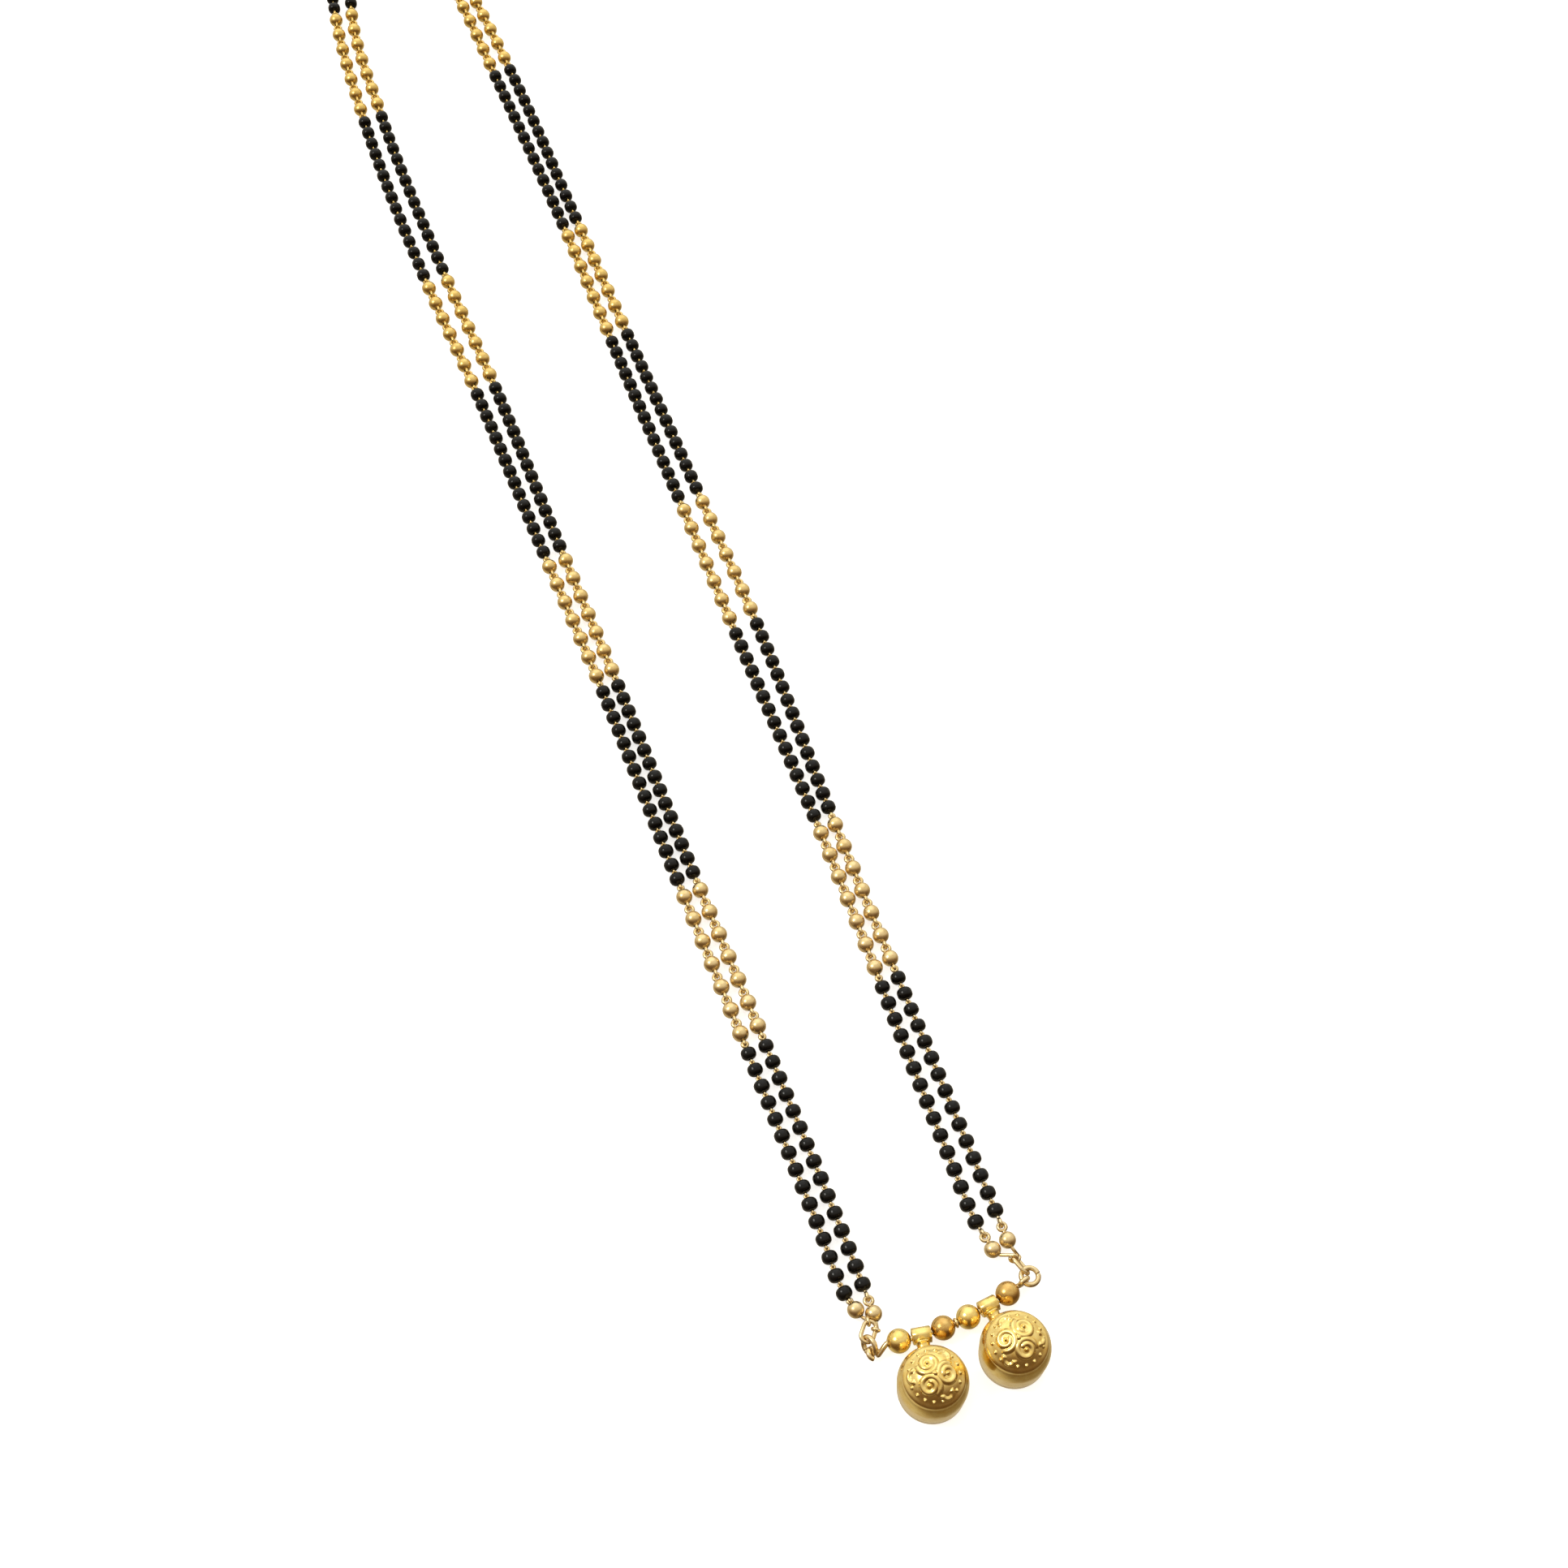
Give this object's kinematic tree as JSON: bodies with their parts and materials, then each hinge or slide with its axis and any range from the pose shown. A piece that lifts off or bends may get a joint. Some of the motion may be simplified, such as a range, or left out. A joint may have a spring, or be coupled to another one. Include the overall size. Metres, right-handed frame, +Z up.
{
  "type": "mangalsutra necklace",
  "caption": "Long mangalsutra of black and gold bead strands in two double legs, with a row of gold balls and two domed cup pendants, laid flat and closed with a plain clasp.",
  "frame": {"origin": "On the surface it lies on, under the middle of its bounding box.", "axes": "+Y runs along the two legs from the pendants to the clasp, +X to the right with the pendants nearest, +Z up from the surface."},
  "size_m": [0.0395, 0.4086, 0.0108],
  "materials": {
    "pendant_gold": "polished gold plate over cast relief",
    "bead_gold": "polished pale gold plate",
    "pale_gold_wire": "drawn wire, gold plate",
    "black_glass": "glossy black glass beads"
  },
  "bodies": {
    "root": {"vati_left": "pendant_gold", "vati_right": "pendant_gold", "ball_outer_left": "pendant_gold", "ball_inner_left": "pendant_gold", "ball_inner_right": "pendant_gold", "ball_outer_right": "pendant_gold", "row_wire": "pale_gold_wire", "ring_left": "pale_gold_wire", "ring_right": "pale_gold_wire", "oval_link_left": "pale_gold_wire", "oval_link_right": "pale_gold_wire", "gold_beads_left_outer": "bead_gold", "gold_beads_left_inner": "bead_gold", "gold_beads_right_inner": "bead_gold", "gold_beads_right_outer": "bead_gold", "black_beads_left_outer": "black_glass", "black_beads_left_inner": "black_glass", "black_beads_right_inner": "black_glass", "black_beads_right_outer": "black_glass", "black_string_left_outer": "black_glass", "black_string_left_inner": "black_glass", "black_string_right_inner": "black_glass", "black_string_right_outer": "black_glass", "strand_wire_left_outer": "pale_gold_wire", "strand_wire_left_inner": "pale_gold_wire", "strand_wire_right_inner": "pale_gold_wire", "strand_wire_right_outer": "pale_gold_wire", "closing_ring_left": "pale_gold_wire", "closing_ring_right": "pale_gold_wire", "clasp": "bead_gold"}
  },
  "joints": []
}
